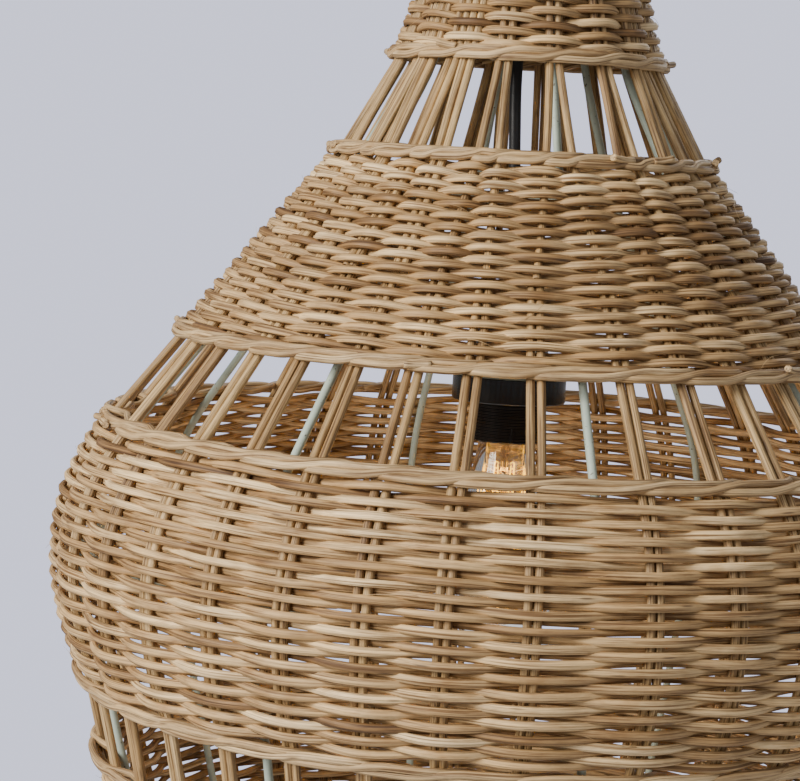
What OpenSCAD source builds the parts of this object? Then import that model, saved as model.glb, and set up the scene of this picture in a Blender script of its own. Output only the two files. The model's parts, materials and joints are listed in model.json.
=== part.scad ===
// Pendant ceiling light: woven rattan shade on a steel frame, lampholder, bulb and ceiling rose.
// Millimetres. Origin on the ceiling face at the middle of the bracket, +Z up, so the light hangs along -Z.
// Heights named *_z are above (+) or below (-) the seat, the underside of the lampholder flange.

/* [Hanging] */
// Distance from the ceiling down to the seat of the lampholder flange
drop = 400; // [400:1:520]
// Diameter of the flex
flex_d = 6.5; // [5:0.5:8]

/* [Shade outline: radius of the stake circle and its height at each edge] */
// Top rim, radius
top_r = 47; // [42:1:60]
// Top rim, height
top_z = 252; // [220:1:300]
// Lower edge of the neck band, radius
neck_r = 70; // [60:1:90]
// Lower edge of the neck band, height
neck_z = 170; // [150:1:200]
// Upper edge of the shoulder band, radius
shoulder_r = 100; // [85:1:125]
// Upper edge of the shoulder band, height
shoulder_z = 116; // [95:1:140]
// Lower edge of the shoulder band, radius
shoulder_foot_r = 180; // [150:1:215]
// Lower edge of the shoulder band, height
shoulder_foot_z = 14; // [8:1:30]
// Upper edge of the belly band, radius
belly_top_r = 218; // [180:1:260]
// Upper edge of the belly band, height
belly_top_z = -35; // [-45:1:-20]
// Widest part of the belly, radius
belly_r = 243; // [203:1:292]
// Widest part of the belly, height
belly_z = -104; // [-125:1:-85]
// Lower edge of the belly band, radius
belly_foot_r = 226; // [188:1:270]
// Lower edge of the belly band, height
belly_foot_z = -170; // [-195:1:-150]
// Upper edge of the hem band, radius
hem_top_r = 215; // [180:1:258]
// Upper edge of the hem band, height
hem_top_z = -215; // [-230:1:-205]
// Bottom rim, radius
hem_r = 190; // [160:1:228]
// Bottom rim, height
hem_z = -295; // [-340:1:-260]

/* [Weave] */
// Thickness of a stake
stake_t = 4; // [3:0.5:5]
// Gap between the two stakes of a pair
pair_gap = 0.6; // [0.4:0.1:2]
// Thickness of the layer of weavers on each side of the stakes
weave_t = 3.8; // [3:0.2:5]
// Thickness of a wale border on each side of the stakes
wale_t = 4.6; // [4:0.2:6]
// Height of a wale border
wale_h = 8; // [6:0.5:10]
// Clearance between stakes and weave
weave_gap = 0.3; // [0.2:0.1:0.6]
// Clearance between a band of weave and its borders
band_gap = 0.9; // [0.7:0.1:2]

/* [Frame] */
// Diameter of the frame rods and hoops
rod_d = 4.4; // [3.5:0.1:6]
// Clearance where frame wires lie on each other
weld_gap = 0.1; // [0.1:0.1:0.5]
// Height at which the spider arms meet the rods
arm_z = 55; // [40:1:80]
// Thickness of the spider ring
spider_t = 2; // [1.5:0.1:3]
// Radial width of the spider ring
spider_w = 10; // [8:0.5:12]

/* [Lampholder] */
// Outside diameter of the lampholder's threaded skirt
skirt_d = 40; // [38:0.5:44]
// Length of the skirt below its flange
skirt_len = 38; // [34:1:44]
// Pitch of the skirt's outside thread
skirt_pitch = 1.75; // [1.5:0.05:2]
// Depth of the skirt's outside thread
thread_depth = 0.7; // [0.4:0.1:1]
// Bore of the skirt
skirt_bore_d = 31; // [30:0.5:33]
// Diameter of the flange
flange_d = 48; // [46:0.5:54]
// Thickness of the flange
flange_t = 3; // [2:0.5:4]
// Height of the cap above the flange
cap_h = 33; // [28:1:40]
// Wall of the cap
cap_wall = 2; // [1.5:0.1:3]
// Diameter of the shade ring
ring_d = 62.8; // [60:0.1:70]
// Height of the shade ring
ring_h = 13.4; // [10:0.1:16]
// Running clearance between pieces that turn on each other
run_gap = 0.3; // [0.25:0.05:0.5]

/* [Bulb] */
// Largest diameter of the bulb
bulb_d = 64; // [60:1:80]
// Length of the bulb from tip contact to glass end
bulb_len = 145; // [138:1:160]
// Diameter of the screw cap
bulb_cap_d = 26.2; // [26:0.1:26.4]
// Length of the screw cap's threaded shell
bulb_cap_len = 23; // [21:1:24]
// Thickness of the glass
glass_t = 0.8; // [0.6:0.1:1.2]
// Strands in the filament cage
strands = 10; // [6:1:12]

/* [Ceiling rose] */
// Diameter of the cup
cup_d = 100; // [90:1:120]
// Height of the cup
cup_h = 28; // [26:1:36]
// Wall of the cup
cup_wall = 1.2; // [1:0.1:2]
// Radius of the cup's lower corner
cup_corner_r = 6; // [3:0.5:8]
// Spacing of the two holes for ceiling screws
bracket_pitch = 60; // [50:1:66]
// Diameter of the holes for ceiling screws
bracket_hole_d = 5; // [4:0.5:6]
// Width of the bracket
bracket_w = 18; // [16:1:24]
// Thickness of the bracket
bracket_t = 2; // [1.5:0.1:3]
// Thread diameter of the cup screws
cup_screw_d = 4; // [3:0.5:5]
// Thread diameter of the cord grips
nipple_d = 10; // [9.5:0.5:13]
// Diameter of the cord grips
grip_d = 18; // [16:0.5:22]
// Height of a cord grip's body
grip_h = 18; // [16:1:24]

/* [Hidden] */
$fn = 64;

// Azimuth of each frame rod, from the front (-Y) towards +X: bent and tied by hand, so not quite even
ROD_ANGLES = [-165, -120, -75, -30, 12, 57, 103, 148];
// Where the stake pairs stand between one rod and the next, as shares of the gap
LOWER_SHARES = [0.13, 0.36, 0.58, 0.81];
// How far the pairs of each gap are pushed on from there, in degrees
PAIR_SHIFT = [0, 0, 4, 0, 0, 0, 0, 0];
// Middle of the flex, from the ceiling grip to the lower grip
FLEX_ROUTE = [
    [0, 0, -38], [0, 0, -48], [0, 0, -60], [-1, 0, -80], [-3, 0, -105], [-4, 0, -130], [-5, 1, -160],
    [-6, 1, -190], [-6, 1, -220], [-6, 1, -245], [-5, 0, -270], [-4, 0, -290], [-3, 0, -310], [-1, 0, -328],
    [0, 0, -340], [0, 0, -351]
];
// Middle of the flex inside the rose, from the grip to where its sheath ends
TAIL_ROUTE = [[0, 0, -34], [0, 0, -22], [2, 0, -16], [8, 0, -12.5], [15, 0, -12]];

PROFILE = concat(
    [[top_r, top_z], [neck_r, neck_z], [shoulder_r, shoulder_z], [shoulder_foot_r, shoulder_foot_z]],
    [for (k = [4:-1:1]) belly_point(k / 4, belly_top_r, belly_top_z)],
    [for (k = [0:4]) belly_point(k / 4, belly_foot_r, belly_foot_z)],
    [[hem_top_r, hem_top_z], [hem_r, hem_z]]
);
weave_in = stake_t / 2 + weave_gap;
splice_z = (shoulder_z + shoulder_foot_z) / 2 - 8;
pair_half = (stake_t + pair_gap) / 2;

grip_z = -cup_h;
swing_z = FLEX_ROUTE[0][2];
lower_grip_z = flange_t + cap_h + run_gap;
rock_z = FLEX_ROUTE[len(FLEX_ROUTE) - 1][2] + drop;
bell_depth = grip_h - 8;
bell_r = flex_d / 2 + 0.55;
flex_bore_r = flex_d / 2 + 0.15;

tip_z = -7;
cap_top_z = tip_z - 5;
cap_foot_z = cap_top_z - bulb_cap_len;
shell_r = bulb_cap_d / 2 + run_gap;
shell_t = 0.7;
glass_end_z = tip_z - bulb_len;
cage_top_z = -52;
cage_foot_z = glass_end_z + 32;
spider_r = skirt_d / 2 + run_gap + 0.1;

// A point on the belly's curve, share 0 at its widest and 1 at the edge of the band
function belly_point(share, r, z) =
    [belly_r - (belly_r - r) * share * share, belly_z + (z - belly_z) * share];
// A point of the straight line that carries a past b, 20 further in height
function run_on(a, b) = b + (b - a) * 20 / abs(b[1] - a[1]);
// The outline from one height down to another, with a point where each cut falls
LINE = concat(
    [run_on(PROFILE[1], PROFILE[0])], PROFILE,
    [run_on(PROFILE[len(PROFILE) - 2], PROFILE[len(PROFILE) - 1])]
);
function radius_at(z) = -lookup(-z, [for (p = LINE) [-p[1], -p[0]]]);
function stretch(hi, lo) = concat(
    [[radius_at(hi), hi]],
    [for (p = PROFILE) if (p[1] < hi - 1 && p[1] > lo + 1) p],
    [[radius_at(lo), lo]]
);
function unit(v) = v / norm(v);
function outward(p, i) = let (d = unit(p[min(i + 1, len(p) - 1)] - p[max(i - 1, 0)])) [-d[1], d[0]];
function shifted(p, off) = [for (i = [0:len(p) - 1]) p[i] + off * outward(p, i)];
function reversed(p) = [for (i = [len(p) - 1:-1:0]) p[i]];

// How far the outline may bend behind a border before the border's rings stand off to make room for it
wale_play = 0.6;
function border_normal(z) = outward([[radius_at(z + 3), z + 3], [radius_at(z - 3), z - 3]], 0);
// Room that the ring on one side needs beyond the play, side 1 outside the stakes and -1 inside them
function bend_room(z, side) =
    let (n = border_normal(z), reach = wale_h / 2 * n[0])
    max(0, max([for (k = [-reach, reach]) side * ([radius_at(z + k) - radius_at(z), k] * n)]) - wale_play);
LEVELS = [
    top_z, neck_z, shoulder_z, shoulder_foot_z, belly_top_z, belly_foot_z, hem_top_z, hem_z
];
inner_room = max([for (z = LEVELS) bend_room(z, -1)]);
rod_off = -(weave_in + inner_room + wale_t + weave_gap + rod_d / 2);
hoop_off = rod_off - rod_d - weld_gap;
function gap_after(i) = (ROD_ANGLES[(i + 1) % len(ROD_ANGLES)] - ROD_ANGLES[i] + 360) % 360;
function pair_angles(shares, first, last) = [
    for (i = [first:last]) for (s = shares) ROD_ANGLES[i] + gap_after(i) * s + PAIR_SHIFT[i]
];

// The outline's strip between two offsets, as a flat shape
module strip(hi, lo, inner, outer) {
    line = stretch(hi, lo);
    polygon(concat(shifted(line, inner), reversed(shifted(line, outer))));
}
// Moves a shape from the seat to its place, with X towards the given azimuth
module at_seat(angle = 90) { translate([0, 0, -drop]) rotate([0, 0, angle - 90]) children(); }
// A round bar between two points
module bar(a, b, d) {
    v = b - a;
    translate(a) rotate([0, acos(v[2] / norm(v)), atan2(v[1], v[0])]) cylinder(d = d, h = norm(v), $fn = 24);
}
// A round tube swept along points, with the ends closed
module swept(points, d, sides = 8, dome = false) {
    n = len(points);
    function heading(i) = unit(points[min(i + 1, n - 1)] - points[max(i - 1, 0)]);
    function ring(c, h, r) = let (u = unit(cross([0, 1, 0], h)), w = cross(h, u))
        [for (k = [0:sides - 1]) c + r * (cos(k * 360 / sides) * u + sin(k * 360 / sides) * w)];
    r = d / 2;
    domes = dome ? [[0.95, 0.31], [0.7, 0.72]] : [];
    start = [for (e = domes) ring(points[0] - r * e[0] * heading(0), heading(0), r * e[1])];
    finish = [for (i = [len(domes) - 1:-1:0])
        ring(points[n - 1] + r * domes[i][0] * heading(n - 1), heading(n - 1), r * domes[i][1])];
    rings = concat(start, [for (i = [0:n - 1]) ring(points[i], heading(i), r)], finish);
    m = len(rings);
    polyhedron(
        points = [for (q = rings) each q],
        faces = concat(
            [[for (k = [0:sides - 1]) k]],
            [for (i = [0:m - 2]) for (k = [0:sides - 1])
                [i * sides + k, (i + 1) * sides + k,
                    (i + 1) * sides + (k + 1) % sides, i * sides + (k + 1) % sides]],
            [[for (k = [sides - 1:-1:0]) (m - 1) * sides + k]]
        )
    );
}

// ---- Ceiling rose ----
tab_x = cup_d / 2 - cup_wall - 4;
screw_z = -12;
module ceiling_bracket() {
    color("silver") difference() {
        union() {
            translate([-tab_x, -bracket_w / 2, -bracket_t]) cube([2 * tab_x, bracket_w, bracket_t]);
            for (side = [-1, 1])
                translate([side * (tab_x - bracket_t / 2) - bracket_t / 2, -bracket_w / 2, -18])
                    cube([bracket_t, bracket_w, 18]);
        }
        for (side = [-1, 1]) {
            translate([side * bracket_pitch / 2, 0, -bracket_t - 1])
                cylinder(d = bracket_hole_d, h = bracket_t + 2);
            translate([side * tab_x - 4, 0, screw_z]) rotate([0, 90, 0])
                cylinder(d = cup_screw_d, h = 8);
        }
    }
}
module rose_cup() {
    r = cup_d / 2;
    color("#1a1a1c") difference() {
        rotate_extrude($fn = 96) difference() {
            cup_outline(r, cup_h, cup_corner_r);
            translate([0, 1]) cup_outline(r - cup_wall, cup_h - cup_wall + 1, cup_corner_r - cup_wall / 2);
        }
        translate([0, 0, -cup_h - 1]) cylinder(d = nipple_d + 0.2, h = cup_wall + 2);
        for (side = [-1, 1])
            translate([side * r - 4, 0, screw_z]) rotate([0, 90, 0]) cylinder(d = cup_screw_d + 0.4, h = 8);
    }
}
module cup_outline(r, h, corner) {
    translate([0, -h]) square([r - corner, corner]);
    translate([0, -h + corner]) square([r, h - corner]);
    translate([r - corner, -h + corner]) intersection() {
        circle(corner);
        translate([0, -corner]) square(corner);
    }
}
module cup_screws() {
    color("#c9a227") for (side = [-1, 1]) rotate([0, 0, side > 0 ? 0 : 180]) {
        translate([tab_x - 6, 0, screw_z]) rotate([0, 90, 0])
            cylinder(d = cup_screw_d - 0.1, h = cup_d / 2 - tab_x + 6);
        translate([cup_d / 2 + 0.1, 0, screw_z]) rotate([0, 90, 0]) difference() {
            cylinder(d = 2 * cup_screw_d, h = 4);
            translate([-cup_screw_d - 1, -0.5, 3]) cube([2 * cup_screw_d + 2, 1, 2]);
        }
    }
}
block_x = 22;
block = [16, 17, 11];
way_y = 4;
way_z = -bracket_t - block[2] / 2 - 0.5;
core_d = 1.6;
module terminal_block() {
    color("#e8e6df") translate([block_x, -block[1] / 2, -bracket_t - block[2]]) difference() {
        cube(block);
        for (side = [-1, 1]) {
            translate([-1, block[1] / 2 + side * way_y, block[2] / 2 - 0.5]) rotate([0, 90, 0])
                cylinder(d = 5, h = block[0] + 2);
            for (x = [4, 12]) translate([x, block[1] / 2 + side * way_y, -1])
                cylinder(d = 3.4, h = block[2] / 2);
        }
    }
}
module terminal_inserts() {
    color("#c9a227") for (side = [-1, 1]) translate([block_x + 1, side * way_y, way_z])
        rotate([0, 90, 0]) difference() {
            cylinder(d = 4.8, h = block[0] - 2);
            translate([0, 0, -1]) cylinder(d = 2.8, h = block[0]);
            for (x = [3, 11]) translate([0, 0, x]) rotate([0, 90, 0]) cylinder(d = 2.2, h = 4);
        }
}
module terminal_screws() {
    color("#b08d3c") for (side = [-1, 1]) for (x = [4, 12])
        translate([block_x + x, side * way_y, -bracket_t - block[2] + 0.5]) {
            cylinder(d = 2.1, h = block[2] / 2 - 1 - core_d / 2 - 0.1);
            difference() {
                cylinder(d = 3.2, h = 1.6);
                translate([-2, -0.3, -0.1]) cube([4, 0.6, 0.6]);
            }
        }
}

// ---- Cord grips: the same moulding, once hanging below the cup and once standing on the lampholder ----
// Local frame: z 0 at the face that seats, body towards +z, threaded nipple towards -z
module grip_moulding(nipple_len) {
    difference() {
        rotate_extrude() polygon([
            [flex_bore_r, -nipple_len], [nipple_d / 2, -nipple_len], [nipple_d / 2, 0], [grip_d / 2, 0],
            [grip_d / 2, grip_h - 2], [grip_d / 2 - 1, grip_h], [bell_r + bell_depth * 0.42, grip_h],
            [bell_r, grip_h - bell_depth], [flex_bore_r, grip_h - bell_depth - 2]
        ]);
        translate([0, 0, 4]) rotate([0, 90, 0]) cylinder(d = 3.2, h = grip_d, $fn = 24);
    }
}
module lock_screw() {
    translate([flex_bore_r + 0.05, 0, 4]) rotate([0, 90, 0]) difference() {
        cylinder(d = 3, h = grip_d / 2 - flex_bore_r + 0.4, $fn = 24);
        translate([-2, -0.35, grip_d / 2 - flex_bore_r - 0.4]) cube([4, 0.7, 2]);
    }
}
module lock_nut() {
    difference() {
        cylinder(d = nipple_d * 1.55, h = 3, $fn = 6);
        translate([0, 0, -1]) cylinder(d = nipple_d + 0.1, h = 5);
    }
}
module cord_grip() { color("#141416") translate([0, 0, grip_z]) mirror([0, 0, 1]) grip_moulding(6); }
module grip_nut() { color("silver") translate([0, 0, grip_z + cup_wall]) lock_nut(); }
module grip_lock_screw() { color("#2a2a2c") translate([0, 0, grip_z]) mirror([0, 0, 1]) lock_screw(); }
module lower_grip() {
    color("#141416") at_seat() translate([0, 0, lower_grip_z]) grip_moulding(nipple_reach);
}
module lower_grip_nut() {
    color("silver") at_seat() translate([0, 0, lower_grip_z - run_gap - cap_wall - run_gap - 3]) lock_nut();
}
module lower_lock_screw() { color("#2a2a2c") at_seat() translate([0, 0, lower_grip_z]) lock_screw(); }
nipple_reach = cap_wall + 2 * run_gap + 4;

// ---- Flex ----
module flex() { color("#101012") swept(FLEX_ROUTE, flex_d, dome = true); }
module flex_tail() { color("#101012") swept(TAIL_ROUTE, flex_d); }
module flex_tail_cores() {
    color("#6b3f22") for (side = [-1, 1])
        swept([[15.1, side * 1.6, -12], [18, side * 2.4, -12], [21, side * way_y, way_z - 1.4],
            [21.6, side * way_y, way_z], [26, side * way_y, way_z]], core_d, 6);
}
holder_tail_z = lower_grip_z - nipple_reach - 4;
module holder_flex_tail() {
    color("#101012") at_seat() translate([0, 0, holder_tail_z])
        cylinder(d = flex_d, h = rock_z - flex_d / 2 - run_gap - holder_tail_z, $fn = 24);
}
module holder_cores() {
    color("#6b3f22") at_seat() for (side = [-1, 1])
        swept([[side * 1.6, 0, holder_tail_z - run_gap], [side * 2.4, 0, holder_tail_z - 3],
            [side * 7, 0, core_top_z + 5], [side * 8, 0, core_top_z + 0.3]], core_d, 6);
}

// ---- Lampholder ----
core_top_z = 14;
collar_r = skirt_d / 2 - 3;
module holder_skirt() {
    n = floor((skirt_len - 1) / skirt_pitch);
    r = skirt_d / 2;
    color("#0c0c0d") at_seat() rotate_extrude($fn = 96) polygon(concat(
        [[skirt_bore_d / 2, -skirt_len], [r - thread_depth, -skirt_len]],
        [for (i = [0:n - 1]) each [
            [r - thread_depth, -skirt_len + 0.2 + i * skirt_pitch],
            [r, -skirt_len + 0.55 + i * skirt_pitch],
            [r, -skirt_len + 1.05 + i * skirt_pitch],
            [r - thread_depth, -skirt_len + 1.4 + i * skirt_pitch]
        ]],
        [[r - thread_depth, 0], [flange_d / 2, 0], [flange_d / 2, flange_t], [collar_r, flange_t],
            [collar_r, flange_t + 9], [skirt_bore_d / 2, flange_t + 9]]
    ));
}
module holder_cap() {
    r = skirt_d / 2 + 0.5;
    color("#0c0c0d") at_seat() translate([0, 0, flange_t]) rotate_extrude($fn = 96) difference() {
        cap_outline(r, cap_h);
        translate([0, -cap_wall]) cap_outline(r - cap_wall - 0.3, cap_h);
        square([nipple_d / 2 + run_gap, cap_h + 1]);
    }
}
module cap_outline(r, h) {
    shoulder = 9;
    square([r, h - shoulder]);
    square([r - shoulder, h]);
    translate([r - shoulder, h - shoulder]) intersection() {
        circle(shoulder, $fn = 48);
        square(shoulder);
    }
}
module holder_core() {
    color("#d9d2c0") at_seat() difference() {
        translate([0, 0, -5]) cylinder(d = skirt_bore_d - 0.6, h = core_top_z + 5);
        translate([0, 0, -6]) cylinder(d = 9, h = 4);
        for (side = [-1, 1]) {
            translate([side * 8, 0, core_top_z - 8]) cylinder(d = 2.6, h = 9, $fn = 24);
            translate([side * 8, 0, core_top_z - 5]) rotate([90, 0, 0]) cylinder(d = 3.2, h = 16, $fn = 24);
        }
    }
}
module screw_shell() {
    color("#b9b6ae") at_seat() translate([0, 0, -skirt_len + 2]) difference() {
        union() {
            cylinder(r = shell_r + shell_t, h = skirt_len - 12);
            translate([0, 0, skirt_len - 12]) cylinder(r = shell_r + shell_t, h = shell_t);
        }
        translate([0, 0, -1]) cylinder(r = shell_r, h = skirt_len - 11);
        cylinder(r = 10, h = skirt_len);
    }
}
module centre_contact() {
    color("#c9a227") at_seat() {
        translate([-1.5, -2.5, tip_z + run_gap]) cube([9, 5, 0.5]);
        translate([6.5, -2.5, tip_z + run_gap]) cube([1, 5, -tip_z - 5.1 - run_gap]);
    }
}
module side_contact() {
    color("#c9a227") at_seat() {
        translate([-13, -2.5, -8.9]) cube([4, 5, 0.6]);
        translate([-10, -2.5, -8.9]) cube([0.6, 5, 3.8]);
    }
}
module holder_terminal_screws() {
    color("#b08d3c") at_seat() for (side = [-1, 1])
        translate([side * 8, -2, core_top_z - 5]) rotate([90, 0, 0]) difference() {
            cylinder(d = 3, h = 8, $fn = 24);
            translate([-2, -0.3, 7.3]) cube([4, 0.6, 2]);
        }
}
module shade_ring() {
    top = -spider_t - run_gap;
    bore = skirt_d / 2 + run_gap;
    wall = 2.2;
    color("#0c0c0d") at_seat() translate([0, 0, top - ring_h]) rotate_extrude($fn = 96) difference() {
        union() {
            translate([bore, 1]) square([ring_d / 2 - bore, ring_h - 1]);
            translate([bore, 0]) square([ring_d / 2 - bore - 1, 1]);
            translate([ring_d / 2 - 1, 1]) circle(1, $fn = 24);
        }
        translate([bore + wall, -1]) square([ring_d / 2 - bore - 2 * wall, ring_h - 3]);
    }
}

// ---- Frame ----
// The outline's point on an offset line, at a height
function on_offset(z, off) =
    let (p = stretch(z + 3, z - 3)) [radius_at(z), z] + off * outward([p[0], p[len(p) - 1]], 0);
module frame_rods() {
    line = shifted(stretch(top_z - 2, hem_z + 2), rod_off);
    color("#aebfae") for (a = ROD_ANGLES) at_seat(a) swept([for (p = line) [p[0], 0, p[1]]], rod_d);
}
module hoop(z) {
    c = on_offset(z, hoop_off);
    color("#aebfae") at_seat() translate([0, 0, c[1]]) rotate_extrude($fn = 96) translate([c[0], 0])
        circle(d = rod_d, $fn = 24);
}
module top_hoop() { hoop(top_z - 7); }
module shoulder_hoop() { hoop(shoulder_z - 12); }
module belly_hoop() { hoop(belly_z); }
module hem_hoop() { hoop(hem_z + 7); }
module spider_ring() {
    color("#aebfae") at_seat() translate([0, 0, -spider_t]) difference() {
        cylinder(r = spider_r + spider_w, h = spider_t - weld_gap);
        translate([0, 0, -1]) cylinder(r = spider_r, h = spider_t + 2);
    }
}
module spider_arms() {
    low = rod_d / 2;
    inner = flange_d / 2 + 1 + low;
    outer = spider_r + spider_w + 4;
    rod_point = on_offset(arm_z, rod_off);
    rise = unit([rod_point[0] - outer, rod_point[1] - low]);
    end = rod_point - (rod_d + weld_gap) * rise;
    color("#aebfae") for (i = [0:2:len(ROD_ANGLES) - 1]) at_seat(ROD_ANGLES[i])
        swept([[inner, 0, low], [outer, 0, low], [end[0], 0, end[1]]], rod_d);
}

// ---- Stakes and weave ----
module stake_pair(angle, hi, lo) {
    for (side = [-1, 1]) at_seat(angle) translate([0, side * pair_half + stake_t / 2, 0]) rotate([90, 0, 0])
        linear_extrude(stake_t) strip(hi, lo, -stake_t / 2, stake_t / 2);
}
module lower_stakes(first) {
    color("#b8925a") for (a = pair_angles(LOWER_SHARES, first, first + 1))
        stake_pair(a, splice_z - 3, hem_z - 3);
}
// A point of the outline, at a height and an azimuth
function on_outline(z, angle) = [radius_at(z) * sin(angle), -radius_at(z) * cos(angle), z];
// An upper stake stands in a close pair in the neck, then spreads to the column where it is spliced
function upper_stake_path(neck_angle, side, column) =
    let (
        levels = [top_z + 3, neck_z, (neck_z + shoulder_z) / 2, shoulder_z, splice_z + 3],
        spread = side * asin(pair_half / neck_r)
    ) [for (z = levels) let (share = max(0, (neck_z - z) / (neck_z - splice_z)))
        on_outline(z, z > neck_z ? neck_angle + side * asin(pair_half / top_r)
            : (neck_angle + spread) * (1 - share) + column * share)];
module upper_stakes() {
    columns = pair_angles(LOWER_SHARES, 0, len(ROD_ANGLES) - 1);
    color("#b8925a") at_seat() for (k = [0:2:len(columns) - 1]) {
        middle = (columns[k] + columns[k + 1]) / 2;
        swept(upper_stake_path(middle, -1, columns[k]), stake_t);
        swept(upper_stake_path(middle, 1, columns[k + 1]), stake_t);
    }
}
module lower_stakes_back() { lower_stakes(0); }
module lower_stakes_left() { lower_stakes(2); }
module lower_stakes_front() { lower_stakes(4); }
module lower_stakes_right() { lower_stakes(6); }
// A band is a layer of weavers outside the stakes and one inside them
module weave(hi, lo) {
    edge = wale_h / 2 + band_gap;
    color("#c3a878") at_seat() {
        rotate_extrude($fn = 96) strip(hi - edge, lo + edge, weave_in, weave_in + weave_t);
        rotate_extrude($fn = 96) strip(hi - edge, lo + edge, -weave_in - weave_t, -weave_in);
    }
}
module neck_weave() { weave(top_z, neck_z); }
module shoulder_weave() { weave(shoulder_z, shoulder_foot_z); }
module belly_weave() { weave(belly_top_z, belly_foot_z); }
module hem_weave() { weave(hem_top_z, hem_z); }
// A wale border has a round-edged ring outside the stakes and one inside them
wale_edge = 1.3;
module border_section() {
    square([wale_t, wale_h - 2 * wale_edge], center = true);
    square([wale_t - 2 * wale_edge, wale_h], center = true);
    for (x = [-1, 1], y = [-1, 1]) translate([x * (wale_t / 2 - wale_edge), y * (wale_h / 2 - wale_edge)])
        circle(wale_edge, $fn = 24);
}
module border(z) {
    n = border_normal(z);
    color("#b79a68") at_seat() for (side = [-1, 1]) rotate_extrude($fn = 96)
        translate([radius_at(z), z] + side * (weave_in + bend_room(z, side) + wale_t / 2) * n)
            rotate(atan2(n[1], n[0])) border_section();
}
module neck_top_border() { border(top_z); }
module neck_foot_border() { border(neck_z); }
module shoulder_top_border() { border(shoulder_z); }
module shoulder_foot_border() { border(shoulder_foot_z); }
module belly_top_border() { border(belly_top_z); }
module belly_foot_border() { border(belly_foot_z); }
module hem_top_border() { border(hem_top_z); }
module hem_foot_border() { border(hem_z); }

// ---- Bulb ----
neck_bulb_r = 15.2;
ball_z = glass_end_z + bulb_d / 2;
// Outline of the glass: a round end, then a neck that narrows in a smooth curve up to the cap
function glass_outline(t) = concat(
    [for (a = [0:10:80]) [(bulb_d / 2 - t) * sin(a), ball_z - (bulb_d / 2 - t) * cos(a)]],
    [for (k = [0:12]) let (s = k / 12) [
        neck_bulb_r - t + (bulb_d / 2 - neck_bulb_r) * (0.5 + 0.5 * cos(180 * pow(s, 1.25))),
        ball_z + (cap_foot_z - 1 - ball_z) * s
    ]]
);
module bulb_glass() {
    color([0.95, 0.85, 0.65, 0.35]) at_seat() rotate_extrude($fn = 96)
        polygon(concat(glass_outline(0), reversed(glass_outline(glass_t))));
}
module bulb_cap() {
    r = bulb_cap_d / 2;
    color("#c9b26a") at_seat() translate([0, 0, cap_foot_z - 0.7]) rotate_extrude() difference() {
        polygon([[0, 0], [r, 0], [r, bulb_cap_len], [r - 3, bulb_cap_len + 0.7], [0, bulb_cap_len + 0.7]]);
        translate([0, -1]) square([r - 0.6, bulb_cap_len + 0.8]);
        square([r - 4.4, bulb_cap_len + 2]);
    }
}
module bulb_insulator() {
    color("#1c1c20") at_seat() translate([0, 0, cap_top_z + 0.3])
        cylinder(r1 = bulb_cap_d / 2 - 5, r2 = 5, h = -cap_top_z + tip_z - 1.6);
}
module bulb_tip() {
    color("#b9b6ae") at_seat() translate([0, 0, tip_z - 1.2])
        rotate_extrude() polygon([[0, 0], [4.6, 0], [4.2, 0.5], [3.2, 0.9], [1.6, 1.2], [0, 1.2]]);
}
stem_foot_z = cage_top_z - 4;
module bulb_stem() {
    color([0.9, 0.92, 0.9, 0.5]) at_seat() {
        rotate_extrude($fn = 48) polygon([
            [0, stem_foot_z - 3], [2, stem_foot_z - 2], [3, stem_foot_z], [2.2, stem_foot_z + 3],
            [2.2, cap_foot_z - 2], [6, cap_foot_z + 6], [0, cap_foot_z + 6]
        ]);
        translate([0, 0, cage_foot_z]) cylinder(r = 1.2, h = stem_foot_z - 2.8 - cage_foot_z, $fn = 24);
        translate([0, 0, cage_foot_z - 1]) sphere(r = 2.2, $fn = 24);
    }
}
cage_top_r = 14;
cage_foot_r = 8;
wire_d = 0.5;
module filament_supports() {
    color("#8c8f92") at_seat() for (k = [0:strands - 1]) rotate([0, 0, k * 360 / strands]) {
        bar([3.1, 0, stem_foot_z], [cage_top_r, 0, cage_top_z], wire_d);
        bar([2.3, 0, cage_foot_z - 1], [cage_foot_r, 0, cage_foot_z - 3], wire_d);
    }
}
module filament() {
    hook = 0.6;
    color("#ffb347") at_seat() for (k = [0:strands - 1]) rotate([0, 0, k * 360 / strands])
        bar([cage_top_r + hook, 0, cage_top_z], [cage_foot_r + hook, 0, cage_foot_z - 3], wire_d);
}

ceiling_bracket();
rose_cup();
cup_screws();
terminal_block();
terminal_inserts();
terminal_screws();
cord_grip();
grip_nut();
grip_lock_screw();
flex_tail();
flex_tail_cores();
flex();
lower_grip();
lower_grip_nut();
lower_lock_screw();
holder_flex_tail();
holder_cap();
holder_skirt();
holder_core();
screw_shell();
centre_contact();
side_contact();
holder_terminal_screws();
holder_cores();
spider_ring();
spider_arms();
frame_rods();
top_hoop();
shoulder_hoop();
belly_hoop();
hem_hoop();
upper_stakes();
lower_stakes_front();
lower_stakes_right();
lower_stakes_back();
lower_stakes_left();
neck_weave();
shoulder_weave();
belly_weave();
hem_weave();
neck_top_border();
neck_foot_border();
shoulder_top_border();
shoulder_foot_border();
belly_top_border();
belly_foot_border();
hem_top_border();
hem_foot_border();
shade_ring();
bulb_insulator();
bulb_tip();
bulb_cap();
bulb_glass();
bulb_stem();
filament_supports();
filament();
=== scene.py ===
"""Pendant ceiling light with a banded rattan shade: its looks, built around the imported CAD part.

Lengths are in metres and angles in degrees unless a name says otherwise.
An azimuth is 0 at the front and grows towards +X. A height is a Z of the frame.
"""

import json
import math

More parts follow.
